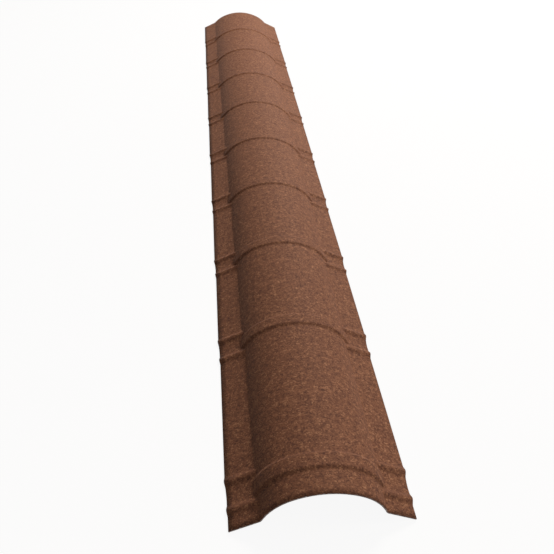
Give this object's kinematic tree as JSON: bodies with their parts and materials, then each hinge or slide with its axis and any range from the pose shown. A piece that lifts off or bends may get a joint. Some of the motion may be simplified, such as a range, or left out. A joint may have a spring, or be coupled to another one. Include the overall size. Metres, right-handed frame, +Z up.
{
  "type": "roof ridge cap",
  "caption": "Long ribbed roof ridge cap pressed from stone-coated steel sheet, with a shallow barrel between two sloping side flanges.",
  "frame": {"origin": "middle of the cap's length and width, on the level that its flange edges rest on", "axes": "+X across the ridge, +Y along the ridge towards the plain end that the next cap laps over, +Z up"},
  "size_m": [0.2518, 2, 0.0649],
  "materials": {
    "coated_sheet": "brown stone granules bonded to painted steel sheet, rough and matte"
  },
  "bodies": {
    "root": {"ridge_cap": "coated_sheet"}
  },
  "joints": []
}
